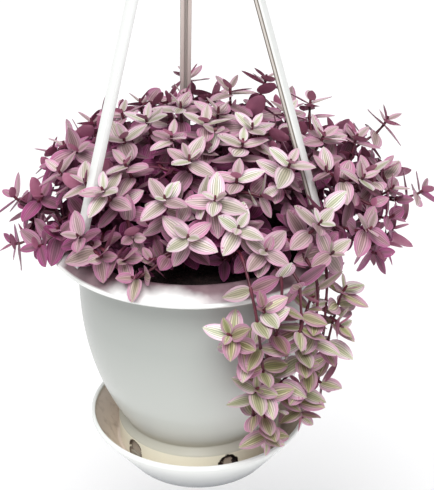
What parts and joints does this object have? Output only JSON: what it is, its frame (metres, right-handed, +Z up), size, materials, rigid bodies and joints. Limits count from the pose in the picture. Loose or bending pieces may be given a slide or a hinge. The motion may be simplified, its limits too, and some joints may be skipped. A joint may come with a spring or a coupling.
{
  "type": "turtle vine in hanging basket",
  "caption": "Turtle vine with a mound of small striped leaves and a bunch that trails over the rim of a round hanging pot with a saucer, hanger arms and a hook.",
  "frame": {"origin": "the underside of the hook's top, where the basket hangs on its rail", "axes": "+Z up along the basket's axis, -Y towards the side that the picture shows, +X to the right as seen from there"},
  "size_m": [0.2978, 0.2549, 0.5321],
  "materials": {
    "white_plastic": "smooth, softly glossy",
    "soil": "rough, damp potting soil",
    "foliage": "soft leaves, striped green and cream with pink edges, on burgundy stems"
  },
  "bodies": {
    "root": {"pot": "white_plastic", "saucer": "white_plastic", "soil": "soil", "arm_1": "white_plastic", "arm_2": "white_plastic", "arm_3": "white_plastic", "hook": "white_plastic", "stem_01": "foliage", "stem_02": "foliage", "stem_03": "foliage", "stem_04": "foliage", "stem_05": "foliage", "stem_06": "foliage", "stem_07": "foliage", "stem_08": "foliage", "stem_09": "foliage", "stem_10": "foliage", "stem_11": "foliage", "stem_12": "foliage", "stem_13": "foliage", "stem_14": "foliage", "stem_15": "foliage", "stem_16": "foliage", "stem_17": "foliage", "stem_18": "foliage", "stem_19": "foliage", "stem_20": "foliage", "stem_21": "foliage", "stem_22": "foliage", "stem_23": "foliage", "stem_24": "foliage", "stem_25": "foliage", "stem_26": "foliage", "stem_27": "foliage", "stem_28": "foliage", "stem_29": "foliage", "stem_30": "foliage", "stem_31": "foliage", "trailing_stem_1": "foliage", "trailing_stem_2": "foliage", "trailing_stem_3": "foliage", "trailing_stem_4": "foliage", "trailing_stem_5": "foliage"}
  },
  "joints": []
}
